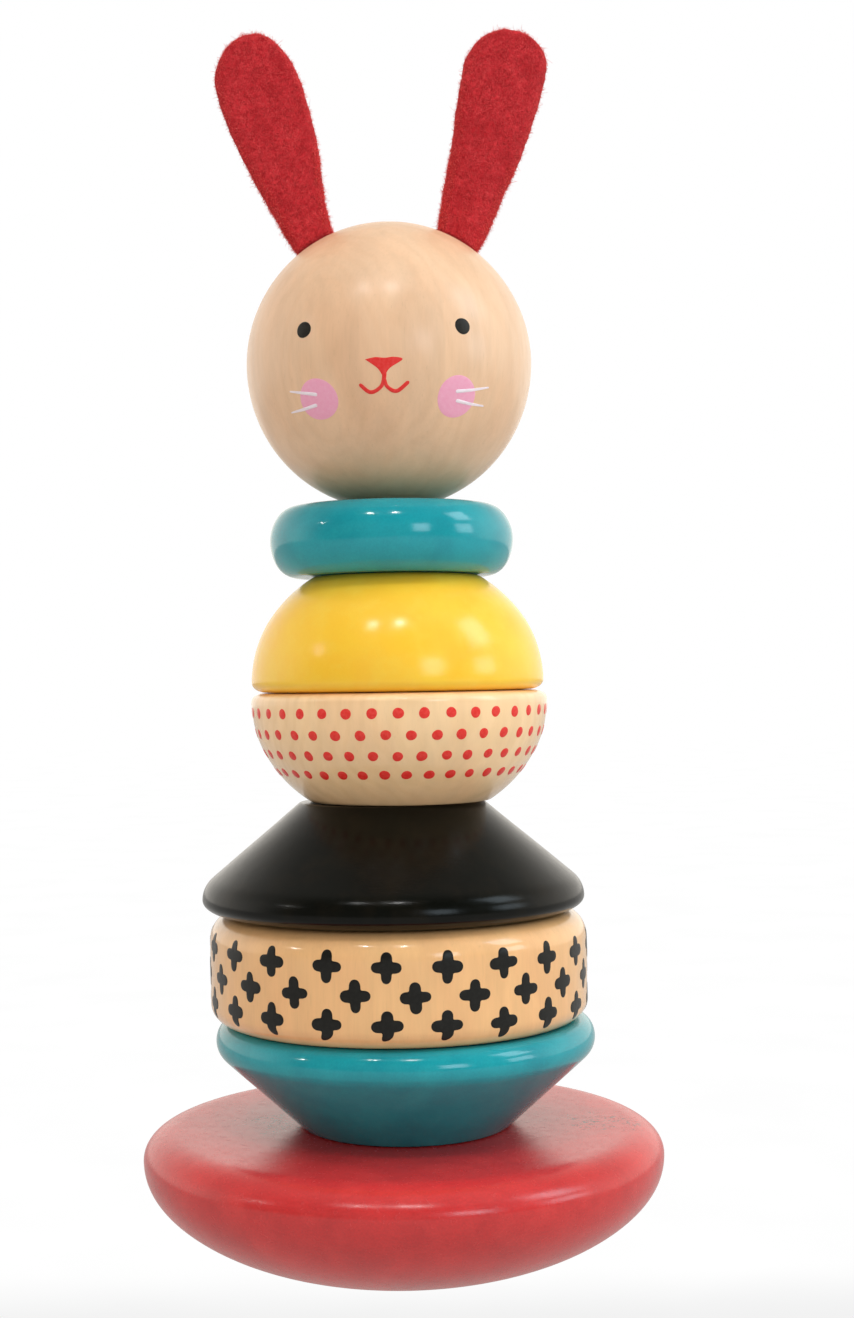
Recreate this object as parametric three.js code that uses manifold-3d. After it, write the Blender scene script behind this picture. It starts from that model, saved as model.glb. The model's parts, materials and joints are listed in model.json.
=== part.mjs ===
// A wooden rabbit stacking toy on a rocker base, in millimetres, +Z up.
// The origin is the centre of the flat foot under the base, and the rabbit's face looks along -Y.
// A post is glued into the base. Six turned pieces and the head drop over it one after another,
// each resting on the one below. Two felt ears are glued into slots in the head.
// Left and right are as seen from the front, so the left ear is on the -X side.

import * as THREE from "three";
import { mergeVertices } from "three/addons/utils/BufferGeometryUtils.js";
import Module from "manifold-3d";

const wasm = await Module();
wasm.setup();

// ---- Driving dimensions ----

const TURN_STEPS = 48; // facets round a large turned piece
const BORE_STEPS = 32; // facets round the post
const ARC_STEPS = 2; // each rounded edge gets twice this many facets
const DISH_STEPS = 12; // facets from the foot to the base's widest place
const BALL_STEPS = 20; // facets from the head's lower edge to its top

const SEAT_GAP = 0.1; // between a piece and the one that it rests on
const GLUE_GAP = 0.3; // round a glued joint

const BASE_RADIUS = 52.5;
const BASE_HEIGHT = 28.4;
const BASE_DISH_DEPTH = 23.5; // the underside is half an ellipsoid this deep
const BASE_FOOT_RADIUS = 10; // where a flat foot cuts the ellipsoid off
const BASE_EDGE_WIDTH = 7.5; // the rounded top edge, measured across the top
const SOCKET_DEPTH = 16;

const POST_RADIUS = 6.35;
const POST_TIP_ROUND = 2;

const BORE_RADIUS = 8; // loose on the post, for a small child
const BORE_CHAMFER = 0.8;

const LOWER_CONE = { height: 21.5, radius: 38.35, foot: 21.2, rimHeight: 17.7, rimRound: 4.1, topRound: 3.4 };
const CROSS_RING = { height: 21.6, radius: 38.1, lowerRound: 3.8, upperRound: 5.0 };
const BLACK_CONE = { height: 22.0, radius: 38.65, top: 18.6, rimHeight: 2.7, rimRound: 5.5 };
const DOTTED_BOWL = { height: 22.1, radius: 30.0, bulge: 25.8, widest: 20.5, edgeWidth: 2.8 };
const YELLOW_DOME = { height: 23.2, radius: 29.6, bulge: 25.8, widest: 2.0, edgeWidth: 3.0 };
const NECK_RING = { height: 14.1, radius: 24.65, edgeWidth: 5.0 };

const HEAD_RADIUS = 28.85;
const HEAD_BORE_RADIUS = 7.4;
const HEAD_BORE_DEPTH = 25; // the post's tip reaches the end of this bore, and so carries the head
const HEAD_SEAT_GAP = 0.8; // which leaves it just clear of the neck ring

// How far each loose piece has settled to one side of the post, along X.
const SETTLED = {
  lowerCone: 0.7,
  crossRing: -0.5,
  blackCone: -1.4,
  dottedBowl: 0.4,
  yellowDome: 0.1,
  neckRing: -0.7,
  head: -0.7,
};

const EAR_THICKNESS = 3;
const EAR_LENGTH = 42; // from its bending line to the tip, along its curved middle
const EAR_CAP_LENGTH = 10; // the rounded end
const EAR_ROOT_HALF_WIDTH = 4.6;
const EAR_HALF_WIDTH = 8.6;
const EAR_SEAT_ANGLE = THREE.MathUtils.degToRad(30); // from the head's top, round to the slot
const EAR_FIRST_TURN = { left: 8, right: 10 }; // degrees inwards at which each blade leaves its slot
const EAR_MORE_TURN = 11; // degrees that it curves further inwards by its tip
const EAR_SIDE_STEPS = 8;
const EAR_CAP_STEPS = 12;
const TENON_DEPTH = 8;
const TENON_PROUD = 0.5; // how far the glued root stands out of the head
const BEND_GAP = 0.3; // between the root and the blade that bends over it

const WOOD_RED = { color: 0xc22f31, roughness: 0.38, metalness: 0 };
const WOOD_TEAL = { color: 0x1f95a3, roughness: 0.3, metalness: 0 };
const WOOD_PLAIN = { color: 0xe6be8e, roughness: 0.35, metalness: 0 };
const WOOD_BLACK = { color: 0x1d1e1b, roughness: 0.35, metalness: 0 };
const WOOD_YELLOW = { color: 0xfac22a, roughness: 0.3, metalness: 0 };
const FELT_RED = { color: 0xbf2430, roughness: 0.95, metalness: 0 };

// ---- Small helpers ----

const toy = new THREE.Group();

function addPiece(parent, name, geometry, finish) {
  const mesh = new THREE.Mesh(geometry, new THREE.MeshStandardMaterial(finish));
  mesh.name = name;
  parent.add(mesh);
  return mesh;
}

// A profile in (radius, height), anticlockwise, turned about the vertical axis.
function turned(profile, steps = TURN_STEPS) {
  const points = profile.getPoints(ARC_STEPS);
  const distinct = points.filter((point, i) => i === 0 || point.distanceTo(points[i - 1]) > 0.01);
  return new THREE.LatheGeometry(distinct, steps).rotateX(Math.PI / 2);
}

// Goes straight to the lower end of an arc that bulges outwards, then up it.
function quarterRound(profile, centreRadius, centreHeight, width, height, from, to) {
  profile.lineTo(centreRadius + width * Math.cos(from), centreHeight + height * Math.sin(from));
  profile.absellipse(centreRadius, centreHeight, width, height, from, to, false, 0);
}

// Goes from the top face down the chamfered bore to the bottom face, and closes the profile.
function boredThrough(profile, height, start) {
  profile.lineTo(BORE_RADIUS + BORE_CHAMFER, height);
  profile.lineTo(BORE_RADIUS, height - BORE_CHAMFER);
  profile.lineTo(BORE_RADIUS, BORE_CHAMFER);
  profile.lineTo(BORE_RADIUS + BORE_CHAMFER, 0);
  profile.lineTo(start.x, start.y);
  return profile;
}

// The angle, on a rim circle, of the point where a straight side from (footRadius, 0) touches it.
function touchAngle(footRadius, rimRadius, rimHeight, rimRound) {
  const across = rimRadius - footRadius;
  const reach = Math.hypot(across, rimHeight);
  const slope = Math.atan2(rimHeight, across) - Math.asin(rimRound / reach);
  return slope - Math.PI / 2;
}

// ---- manifold-3d: booleans for the head's slots and the ears' round roots ----

function toSolid(geometry) {
  const bare = geometry.index ? geometry.toNonIndexed() : geometry.clone();
  bare.deleteAttribute("normal");
  bare.deleteAttribute("uv");
  const merged = mergeVertices(bare, 1e-3);
  const vertProperties = merged.attributes.position.array;
  const triVerts = new Uint32Array(merged.index.array);
  return new wasm.Manifold(new wasm.Mesh({ numProp: 3, vertProperties, triVerts }));
}

function toGeometry(solid) {
  const mesh = solid.getMesh();
  const geometry = new THREE.BufferGeometry();
  geometry.setAttribute("position", new THREE.BufferAttribute(mesh.vertProperties, 3));
  geometry.setIndex(new THREE.BufferAttribute(mesh.triVerts, 1));
  return geometry;
}

// ---- Turned pieces, each with its own bottom face at height 0 ----

function baseProfile() {
  const footShare = BASE_FOOT_RADIUS / BASE_RADIUS;
  const widest = BASE_DISH_DEPTH * Math.sqrt(1 - footShare ** 2);
  const edgeHeight = BASE_HEIGHT - widest;
  const socketRadius = POST_RADIUS + GLUE_GAP;
  const profile = new THREE.Path();
  profile.moveTo(0, 0);
  profile.lineTo(BASE_FOOT_RADIUS, 0);
  const first = -Math.acos(footShare);
  for (let i = 1; i <= DISH_STEPS; i++) {
    const angle = first * (1 - i / DISH_STEPS);
    profile.lineTo(BASE_RADIUS * Math.cos(angle), widest + BASE_DISH_DEPTH * Math.sin(angle));
  }
  quarterRound(profile, BASE_RADIUS - BASE_EDGE_WIDTH, widest, BASE_EDGE_WIDTH, edgeHeight, 0, Math.PI / 2);
  profile.lineTo(socketRadius + BORE_CHAMFER, BASE_HEIGHT);
  profile.lineTo(socketRadius, BASE_HEIGHT - BORE_CHAMFER);
  profile.lineTo(socketRadius, BASE_HEIGHT - SOCKET_DEPTH);
  profile.lineTo(0, BASE_HEIGHT - SOCKET_DEPTH);
  return profile;
}

function postProfile(length) {
  const profile = new THREE.Path();
  profile.moveTo(0, 0);
  profile.lineTo(POST_RADIUS - BORE_CHAMFER, 0);
  profile.lineTo(POST_RADIUS, BORE_CHAMFER);
  quarterRound(profile, POST_RADIUS - POST_TIP_ROUND, length - POST_TIP_ROUND,
    POST_TIP_ROUND, POST_TIP_ROUND, 0, Math.PI / 2);
  profile.lineTo(0, length);
  return profile;
}

// A cone that widens upwards to a rounded rim.
function lowerConeProfile({ height, radius, foot, rimHeight, rimRound, topRound }) {
  const start = new THREE.Vector2(foot, 0);
  const profile = new THREE.Path().moveTo(start.x, start.y);
  const rimRadius = radius - rimRound;
  const touch = touchAngle(foot, rimRadius, rimHeight, rimRound);
  quarterRound(profile, rimRadius, rimHeight, rimRound, rimRound, touch, 0);
  quarterRound(profile, radius - topRound, rimHeight, topRound, height - rimHeight, 0, Math.PI / 2);
  return boredThrough(profile, height, start);
}

function crossRingProfile({ height, radius, lowerRound, upperRound }) {
  const start = new THREE.Vector2(radius - lowerRound, 0);
  const profile = new THREE.Path().moveTo(start.x, start.y);
  quarterRound(profile, start.x, lowerRound, lowerRound, lowerRound, -Math.PI / 2, 0);
  quarterRound(profile, radius - upperRound, height - upperRound, upperRound, upperRound, 0, Math.PI / 2);
  return boredThrough(profile, height, start);
}

// A cone that narrows upwards from a rounded rim.
function blackConeProfile({ height, radius, top, rimHeight, rimRound }) {
  const start = new THREE.Vector2(radius - rimRound, 0);
  const profile = new THREE.Path().moveTo(start.x, start.y);
  const touch = touchAngle(top, start.x, height - rimHeight, rimRound);
  quarterRound(profile, start.x, rimHeight, rimRound, rimHeight, -Math.PI / 2, 0);
  quarterRound(profile, start.x, rimHeight, rimRound, rimRound, 0, -touch);
  profile.lineTo(top, height);
  return boredThrough(profile, height, start);
}

// The wall is part of an ellipse: bulge is how far below its widest place that would close.
function dottedBowlProfile({ height, radius, bulge, widest, edgeWidth }) {
  const first = -Math.asin(widest / bulge);
  const start = new THREE.Vector2(radius * Math.cos(first), 0);
  const profile = new THREE.Path().moveTo(start.x, start.y);
  quarterRound(profile, 0, widest, radius, bulge, first, first / 2);
  quarterRound(profile, 0, widest, radius, bulge, first / 2, 0);
  quarterRound(profile, radius - edgeWidth, widest, edgeWidth, height - widest, 0, Math.PI / 2);
  return boredThrough(profile, height, start);
}

// The same the other way up: bulge is how far above its widest place the ellipse would close.
function yellowDomeProfile({ height, radius, bulge, widest, edgeWidth }) {
  const start = new THREE.Vector2(radius - edgeWidth, 0);
  const profile = new THREE.Path().moveTo(start.x, start.y);
  const last = Math.asin((height - widest) / bulge);
  quarterRound(profile, start.x, widest, edgeWidth, widest, -Math.PI / 2, 0);
  quarterRound(profile, 0, widest, radius, bulge, 0, last / 2);
  quarterRound(profile, 0, widest, radius, bulge, last / 2, last);
  return boredThrough(profile, height, start);
}

function neckRingProfile({ height, radius, edgeWidth }) {
  const start = new THREE.Vector2(radius - edgeWidth, 0);
  const profile = new THREE.Path().moveTo(start.x, start.y);
  quarterRound(profile, start.x, height / 2, edgeWidth, height / 2, -Math.PI / 2, 0);
  quarterRound(profile, start.x, height / 2, edgeWidth, height / 2, 0, Math.PI / 2);
  return boredThrough(profile, height, start);
}

// Height 0 is the ball's lowest edge, round the mouth of its bore.
const HEAD_MOUTH_RADIUS = HEAD_BORE_RADIUS + BORE_CHAMFER;
const HEAD_CENTRE = Math.sqrt(HEAD_RADIUS ** 2 - HEAD_MOUTH_RADIUS ** 2);

function headProfile() {
  const profile = new THREE.Path().moveTo(0, HEAD_BORE_DEPTH);
  profile.lineTo(HEAD_BORE_RADIUS, HEAD_BORE_DEPTH);
  profile.lineTo(HEAD_BORE_RADIUS, BORE_CHAMFER);
  profile.lineTo(HEAD_MOUTH_RADIUS, 0);
  const first = Math.asin(-HEAD_CENTRE / HEAD_RADIUS);
  for (let i = 0; i < BALL_STEPS; i++) {
    const angle = first + (Math.PI / 2 - first) * (i / BALL_STEPS);
    profile.lineTo(HEAD_RADIUS * Math.cos(angle), HEAD_CENTRE + HEAD_RADIUS * Math.sin(angle));
  }
  profile.lineTo(0, HEAD_CENTRE + HEAD_RADIUS);
  return profile;
}

// ---- Ears ----
// An ear is made flat in its own frame: Z leaves the head straight out of the slot,
// X runs along the bending line, and Y is the felt's thickness. inwards is +1 or -1,
// the X direction in which the blade curves back towards the middle of the head.

// Height of the bending line over the head's surface.
const BEND_HEIGHT = TENON_PROUD + BEND_GAP + EAR_THICKNESS / 2;

function earHalfWidth(along) {
  const straight = EAR_LENGTH - EAR_CAP_LENGTH;
  if (along > straight) {
    const share = Math.min(1, (along - straight) / EAR_CAP_LENGTH);
    return EAR_HALF_WIDTH * Math.sqrt(1 - share ** 2);
  }
  const swell = Math.sin(((along / straight) * Math.PI) / 2);
  return EAR_ROOT_HALF_WIDTH + (EAR_HALF_WIDTH - EAR_ROOT_HALF_WIDTH) * swell;
}

// How far the blade has turned inwards, in radians, at a place along its middle line.
function earTurn(along, firstTurn) {
  return THREE.MathUtils.degToRad(firstTurn + EAR_MORE_TURN * (along / EAR_LENGTH));
}

// The middle line turns steadily, so each point is the sum of small steps along it.
function earMiddle(along, firstTurn) {
  const steps = 40;
  const point = new THREE.Vector2(0, 0);
  for (let i = 0; i < steps; i++) {
    const turn = earTurn((along * (i + 0.5)) / steps, firstTurn);
    point.x += (Math.sin(turn) * along) / steps;
    point.y += (Math.cos(turn) * along) / steps;
  }
  return point;
}

function earEdgePoint(along, side, firstTurn) {
  const turn = earTurn(along, firstTurn);
  const middle = earMiddle(along, firstTurn);
  const half = earHalfWidth(along) * side;
  return new THREE.Vector2(middle.x + half * Math.cos(turn), middle.y - half * Math.sin(turn));
}

function earOutline(inwards, firstTurn) {
  const straight = EAR_LENGTH - EAR_CAP_LENGTH;
  const stations = [];
  for (let i = 1; i <= EAR_SIDE_STEPS; i++) {
    stations.push((straight * i) / EAR_SIDE_STEPS);
  }
  for (let i = 1; i < EAR_CAP_STEPS / 2; i++) {
    stations.push(straight + EAR_CAP_LENGTH * Math.sin((Math.PI * i) / EAR_CAP_STEPS));
  }
  const innerEdge = stations.map((along) => earEdgePoint(along, 1, firstTurn));
  const outerEdge = stations.map((along) => earEdgePoint(along, -1, firstTurn)).reverse();
  const points = [
    new THREE.Vector2(EAR_ROOT_HALF_WIDTH, 0),
    ...innerEdge,
    earMiddle(EAR_LENGTH, firstTurn),
    ...outerEdge,
    new THREE.Vector2(-EAR_ROOT_HALF_WIDTH, 0),
  ];
  return new THREE.Shape(points.map((point) => new THREE.Vector2(point.x * inwards, point.y)));
}

// Stands an outline in X and Y up into X and Z, with its thickness centred on Y.
function standing(outline) {
  const flat = new THREE.ExtrudeGeometry(outline, { depth: EAR_THICKNESS, bevelEnabled: false });
  return flat.translate(0, 0, -EAR_THICKNESS / 2).rotateX(Math.PI / 2);
}

// The blade's lower end is a half round on the bending line, so that it can turn over the root.
function earBlade(inwards, firstTurn) {
  const round = EAR_THICKNESS / 2;
  const hinge = new THREE.CylinderGeometry(round, round, 2 * EAR_ROOT_HALF_WIDTH, 16).rotateZ(Math.PI / 2);
  return toGeometry(toSolid(standing(earOutline(inwards, firstTurn))).add(toSolid(hinge)));
}

function earTenon() {
  const height = TENON_DEPTH + TENON_PROUD;
  const tenon = new THREE.BoxGeometry(2 * EAR_ROOT_HALF_WIDTH, EAR_THICKNESS, height);
  return tenon.translate(0, 0, TENON_PROUD - height / 2);
}

// The slot is the tenon's shape with the glue's gap round it, cut from well above the ball.
function slotCutter() {
  const above = 4;
  const width = 2 * (EAR_ROOT_HALF_WIDTH + GLUE_GAP);
  const height = TENON_DEPTH + GLUE_GAP + above;
  const cutter = new THREE.BoxGeometry(width, EAR_THICKNESS + 2 * GLUE_GAP, height);
  return cutter.translate(0, 0, above - height / 2);
}

// side is -1 for the left ear and +1 for the right one. Its seat is a frame on the head's surface.
function earSeat(side) {
  const seat = new THREE.Group();
  const across = HEAD_RADIUS * Math.sin(EAR_SEAT_ANGLE);
  seat.position.set(side * across, 0, HEAD_CENTRE + HEAD_RADIUS * Math.cos(EAR_SEAT_ANGLE));
  seat.rotation.y = side * EAR_SEAT_ANGLE;
  seat.updateMatrix();
  return seat;
}

// ---- Assembly ----

addPiece(toy, "rocker_base", turned(baseProfile()), WOOD_RED);

const stack = [
  ["lower_cone", lowerConeProfile(LOWER_CONE), LOWER_CONE.height, SETTLED.lowerCone, WOOD_TEAL],
  ["cross_ring", crossRingProfile(CROSS_RING), CROSS_RING.height, SETTLED.crossRing, WOOD_PLAIN],
  ["black_cone", blackConeProfile(BLACK_CONE), BLACK_CONE.height, SETTLED.blackCone, WOOD_BLACK],
  ["dotted_bowl", dottedBowlProfile(DOTTED_BOWL), DOTTED_BOWL.height, SETTLED.dottedBowl, WOOD_PLAIN],
  ["yellow_dome", yellowDomeProfile(YELLOW_DOME), YELLOW_DOME.height, SETTLED.yellowDome, WOOD_YELLOW],
  ["neck_ring", neckRingProfile(NECK_RING), NECK_RING.height, SETTLED.neckRing, WOOD_TEAL],
];
let seatHeight = BASE_HEIGHT;
for (const [name, profile, height, settled, finish] of stack) {
  seatHeight += SEAT_GAP;
  addPiece(toy, name, turned(profile), finish).position.set(settled, 0, seatHeight);
  seatHeight += height;
}

const headBottom = seatHeight + HEAD_SEAT_GAP;
const head = new THREE.Group();
head.position.set(SETTLED.head, 0, headBottom);
toy.add(head);

let headSolid = toSolid(turned(headProfile()));
for (const [name, side] of [["left", -1], ["right", 1]]) {
  const seat = earSeat(side);
  headSolid = headSolid.subtract(toSolid(slotCutter().applyMatrix4(seat.matrix)));
  addPiece(seat, `${name}_ear_root`, earTenon(), FELT_RED);
  addPiece(seat, `${name}_ear`, earBlade(-side, EAR_FIRST_TURN[name]), FELT_RED).position.z = BEND_HEIGHT;
  head.add(seat);
}
addPiece(head, "head_ball", toGeometry(headSolid), WOOD_PLAIN);

const postFoot = BASE_HEIGHT - SOCKET_DEPTH + GLUE_GAP;
const postTip = headBottom + HEAD_BORE_DEPTH - SEAT_GAP;
addPiece(toy, "post", turned(postProfile(postTip - postFoot), BORE_STEPS), WOOD_PLAIN).position.z = postFoot;

export default toy;
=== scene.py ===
import json
import math

import bpy
import numpy as np
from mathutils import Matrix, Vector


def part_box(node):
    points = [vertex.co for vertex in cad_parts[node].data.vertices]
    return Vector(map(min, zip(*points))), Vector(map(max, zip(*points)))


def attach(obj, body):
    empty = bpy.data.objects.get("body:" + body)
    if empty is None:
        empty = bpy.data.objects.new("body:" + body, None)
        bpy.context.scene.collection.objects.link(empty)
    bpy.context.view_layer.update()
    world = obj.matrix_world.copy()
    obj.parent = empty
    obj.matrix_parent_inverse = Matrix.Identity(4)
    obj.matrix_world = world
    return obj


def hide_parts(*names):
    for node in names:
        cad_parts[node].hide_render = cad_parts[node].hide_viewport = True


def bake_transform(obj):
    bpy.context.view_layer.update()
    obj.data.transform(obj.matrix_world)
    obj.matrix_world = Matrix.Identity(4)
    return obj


# The looks of a wooden rabbit stacking toy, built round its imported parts.
# Lengths are millimetres until add_piece() puts them into a mesh in metres. +Z is up,
# the rabbit looks along -Y, and left is the -X side. On a turned piece an angle is
# measured from the front, growing towards the right.

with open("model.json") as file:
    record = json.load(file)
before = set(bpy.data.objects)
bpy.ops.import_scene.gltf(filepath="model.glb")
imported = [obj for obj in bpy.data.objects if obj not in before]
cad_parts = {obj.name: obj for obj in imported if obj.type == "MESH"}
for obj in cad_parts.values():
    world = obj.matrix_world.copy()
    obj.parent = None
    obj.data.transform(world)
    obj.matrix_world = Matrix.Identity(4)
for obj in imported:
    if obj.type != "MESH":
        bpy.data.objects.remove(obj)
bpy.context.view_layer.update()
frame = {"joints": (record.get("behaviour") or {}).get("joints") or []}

MM = 0.001
TURN_STEPS = 224  # points round a turned piece
POST_STEPS = 96

POST_RADIUS = 6.35
BORE_RADIUS = 8.0
BORE_EASE = 0.8  # rounded mouth of a bore

BASE = {"height": 28.4, "radius": 52.5, "dish": 23.5, "foot": 10.0, "edge": 7.5}
BASE_SOCKET = 16.0  # how deep the post goes into the base
LOWER_CONE = {"height": 21.5, "radius": 38.35, "foot": 21.2, "rim_height": 17.7, "rim": 4.1, "top": 3.4}
CROSS_RING = {"height": 21.6, "radius": 38.1, "lower": 3.8, "upper": 5.0}
BLACK_CONE = {"height": 22.0, "radius": 38.65, "top": 18.6, "rim_height": 2.7, "rim": 5.5}
DOTTED_BOWL = {"height": 22.1, "radius": 30.0, "bulge": 25.8, "widest": 20.5, "edge": 2.8}
YELLOW_DOME = {"height": 23.2, "radius": 29.6, "bulge": 25.8, "widest": 2.0, "edge": 3.0}
NECK_RING = {"height": 14.1, "radius": 24.65, "edge": 5.0}
HEAD = {"radius": 28.85, "bore": 7.4, "depth": 25.0}

EAR_THICKNESS = 3.0
EAR_TIP = 9.0  # the rounded end, where the felt's rings lie closer together
EAR_BURIED = 8.0  # how deep the felt goes into the head
EAR_BEND_HEIGHT = 2.3  # of the bending line over the head
EAR_STATIONS = (-10.3, -2.3, 2.6, 10.4, 17.0, 24.0, 30.0)  # past the bending line
EAR_MORE_TURN = 10.5  # degrees inwards from the bending line to the tip
# For each ear: its length past the bending line, how far its inner and outer edges lie from its middle
# line at the stations and at the tip, how long the rounding at the tip is on each edge, and how many
# degrees it turns inwards at the bending line.
LEFT_EAR = {
    "length": 42.5,
    "inner": (4.1, 4.3, 4.9, 6.3, 7.65, 8.05, 8.0, 8.0),
    "outer": (4.1, 4.2, 4.9, 6.25, 7.45, 8.6, 9.2, 9.1),
    "inner_tip": 14.0,
    "outer_tip": 9.5,
    "first_turn": 9.0,
}
RIGHT_EAR = {
    "length": 42.2,
    "inner": (4.3, 5.0, 5.9, 6.85, 7.35, 8.1, 8.3, 8.3),
    "outer": (4.0, 4.2, 4.7, 5.5, 6.75, 7.6, 8.25, 8.6),
    "inner_tip": 9.0,
    "outer_tip": 6.0,
    "first_turn": 11.0,
}


# ---- Meshes ----


def add_piece(name, points, faces, materials, face_materials=None, crease=38.0):
    """A mesh object at the origin from points in millimetres and lists of corner numbers."""
    mesh = bpy.data.meshes.new(name)
    mesh.from_pydata((points * MM).tolist(), [], faces)
    for material in materials:
        mesh.materials.append(material)
    if face_materials is not None:
        mesh.polygons.foreach_set("material_index", np.asarray(face_materials, np.int32))
    mesh.shade_smooth()
    mesh.set_sharp_from_angle(angle=math.radians(crease))
    mesh.update()
    piece = bpy.data.objects.new(name, mesh)
    bpy.context.scene.collection.objects.link(piece)
    return piece


def mark(piece, name, kind, values):
    """Gives each point of a piece a value that its material can read."""
    layer = piece.data.attributes.new(name, kind, "POINT")
    field = "vector" if kind == "FLOAT_VECTOR" else "value"
    layer.data.foreach_set(field, values.astype(np.float32).ravel())


def shell(rings, start=None, end=None):
    """Skin over rings of points, an array (rings, points, 3), each going anticlockwise seen from the
    next one. Each end is closed by a fan to the point given; with neither, the last ring joins the first."""
    rows, count, _ = rings.shape
    points = [rings.reshape(-1, 3)]
    here = np.arange(count)
    following = (here + 1) % count
    last_row = rows if start is None and end is None else rows - 1
    lower = np.arange(last_row)[:, None] * count
    upper = (np.arange(last_row)[:, None] + 1) % rows * count
    quads = np.stack([lower + here, lower + following, upper + following, upper + here], -1)
    faces = quads.reshape(-1, 4).tolist()
    total = rows * count
    if start is not None:
        points.append(np.asarray(start, float).reshape(1, 3))
        faces += np.stack([np.full(count, total), following, here], -1).tolist()
        total += 1
    if end is not None:
        points.append(np.asarray(end, float).reshape(1, 3))
        top = (rows - 1) * count
        faces += np.stack([top + here, top + following, np.full(count, total)], -1).tolist()
    return np.concatenate(points), faces


def gathered(shells):
    """Several shells as one set of points and faces."""
    points, faces, first = [], [], 0
    for shell_points, shell_faces in shells:
        points.append(shell_points)
        faces += [[corner + first for corner in face] for face in shell_faces]
        first += len(shell_points)
    return np.concatenate(points), faces


def unit(vectors):
    """Vectors along these, each divided by its length."""
    return vectors / np.linalg.norm(vectors, axis=-1, keepdims=True)


def measured(line):
    """The line without its repeated points, and how far along it each point lies."""
    along = np.concatenate([[0.0], np.cumsum(np.hypot(*np.diff(line, axis=0).T))])
    keep = np.concatenate([[True], np.diff(along) > 1e-6])
    return line[keep], along[keep]


# ---- Profiles of the turned pieces, in (radius, height), anticlockwise ----


def arc(centre_radius, centre_height, width, height, first, last, steps=24):
    """Part of an ellipse: centre plus (width times cosine, height times sine) of the angle."""
    angle = np.linspace(math.radians(first), math.radians(last), steps)
    return np.stack([centre_radius + width * np.cos(angle), centre_height + height * np.sin(angle)], -1)


def bore(height):
    """From the top face down the bore to the bottom face, with a quarter round at each mouth."""
    middle = BORE_RADIUS + BORE_EASE
    return [
        arc(middle, height - BORE_EASE, BORE_EASE, BORE_EASE, 90, 180, 10),
        arc(middle, BORE_EASE, BORE_EASE, BORE_EASE, 180, 270, 10),
    ]


def touch_angle(foot, rim_radius, rim_height, rim):
    """The angle on a rim circle where a straight side from (foot, 0) touches it, in degrees."""
    across = rim_radius - foot
    reach = math.hypot(across, rim_height)
    return math.degrees(math.atan2(rim_height, across) - math.asin(rim / reach)) - 90


def base_wall(height, radius, dish, foot, edge):
    """The dished underside, half an ellipse cut off at the foot, then the rounded top edge."""
    share = foot / radius
    widest = dish * math.sqrt(1 - share**2)
    first = -math.degrees(math.acos(share))
    return [
        arc(0, widest, radius, dish, first, 0, 70),
        arc(radius - edge, widest, edge, height - widest, 0, 90, 30),
    ]


def lower_cone_wall(height, radius, foot, rim_height, rim, top):
    """A straight side that widens upwards into a rounded rim."""
    first = touch_angle(foot, radius - rim, rim_height, rim)
    return [
        np.array([[foot, 0.0]]),
        arc(radius - rim, rim_height, rim, rim, first, 0),
        arc(radius - top, rim_height, top, height - rim_height, 0, 90),
    ]


def cross_ring_wall(height, radius, lower, upper):
    """An upright wall between two quarter rounds."""
    return [
        arc(radius - lower, lower, lower, lower, -90, 0),
        arc(radius - upper, height - upper, upper, upper, 0, 90),
    ]


def black_cone_wall(height, radius, top, rim_height, rim):
    """A rounded rim, then a straight side that narrows upwards."""
    last = -touch_angle(top, radius - rim, height - rim_height, rim)
    return [
        arc(radius - rim, rim_height, rim, rim_height, -90, 0),
        arc(radius - rim, rim_height, rim, rim, 0, last),
        np.array([[top, height]]),
    ]


def dotted_bowl_wall(height, radius, bulge, widest, edge):
    """Part of an ellipse that widens upwards, then a rounded top edge."""
    first = -math.degrees(math.asin(widest / bulge))
    return [
        arc(0, widest, radius, bulge, first, 0, 50),
        arc(radius - edge, widest, edge, height - widest, 0, 90, 16),
    ]


def yellow_dome_wall(height, radius, bulge, widest, edge):
    """A rounded lower edge, then part of an ellipse that narrows upwards."""
    last = math.degrees(math.asin((height - widest) / bulge))
    return [
        arc(radius - edge, widest, edge, widest, -90, 0, 16),
        arc(0, widest, radius, bulge, 0, last, 50),
    ]


def neck_ring_wall(height, radius, edge):
    """Half an ellipse from the bottom face to the top face."""
    return [arc(radius - edge, height / 2, edge, height / 2, -90, 90, 50)]


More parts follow.
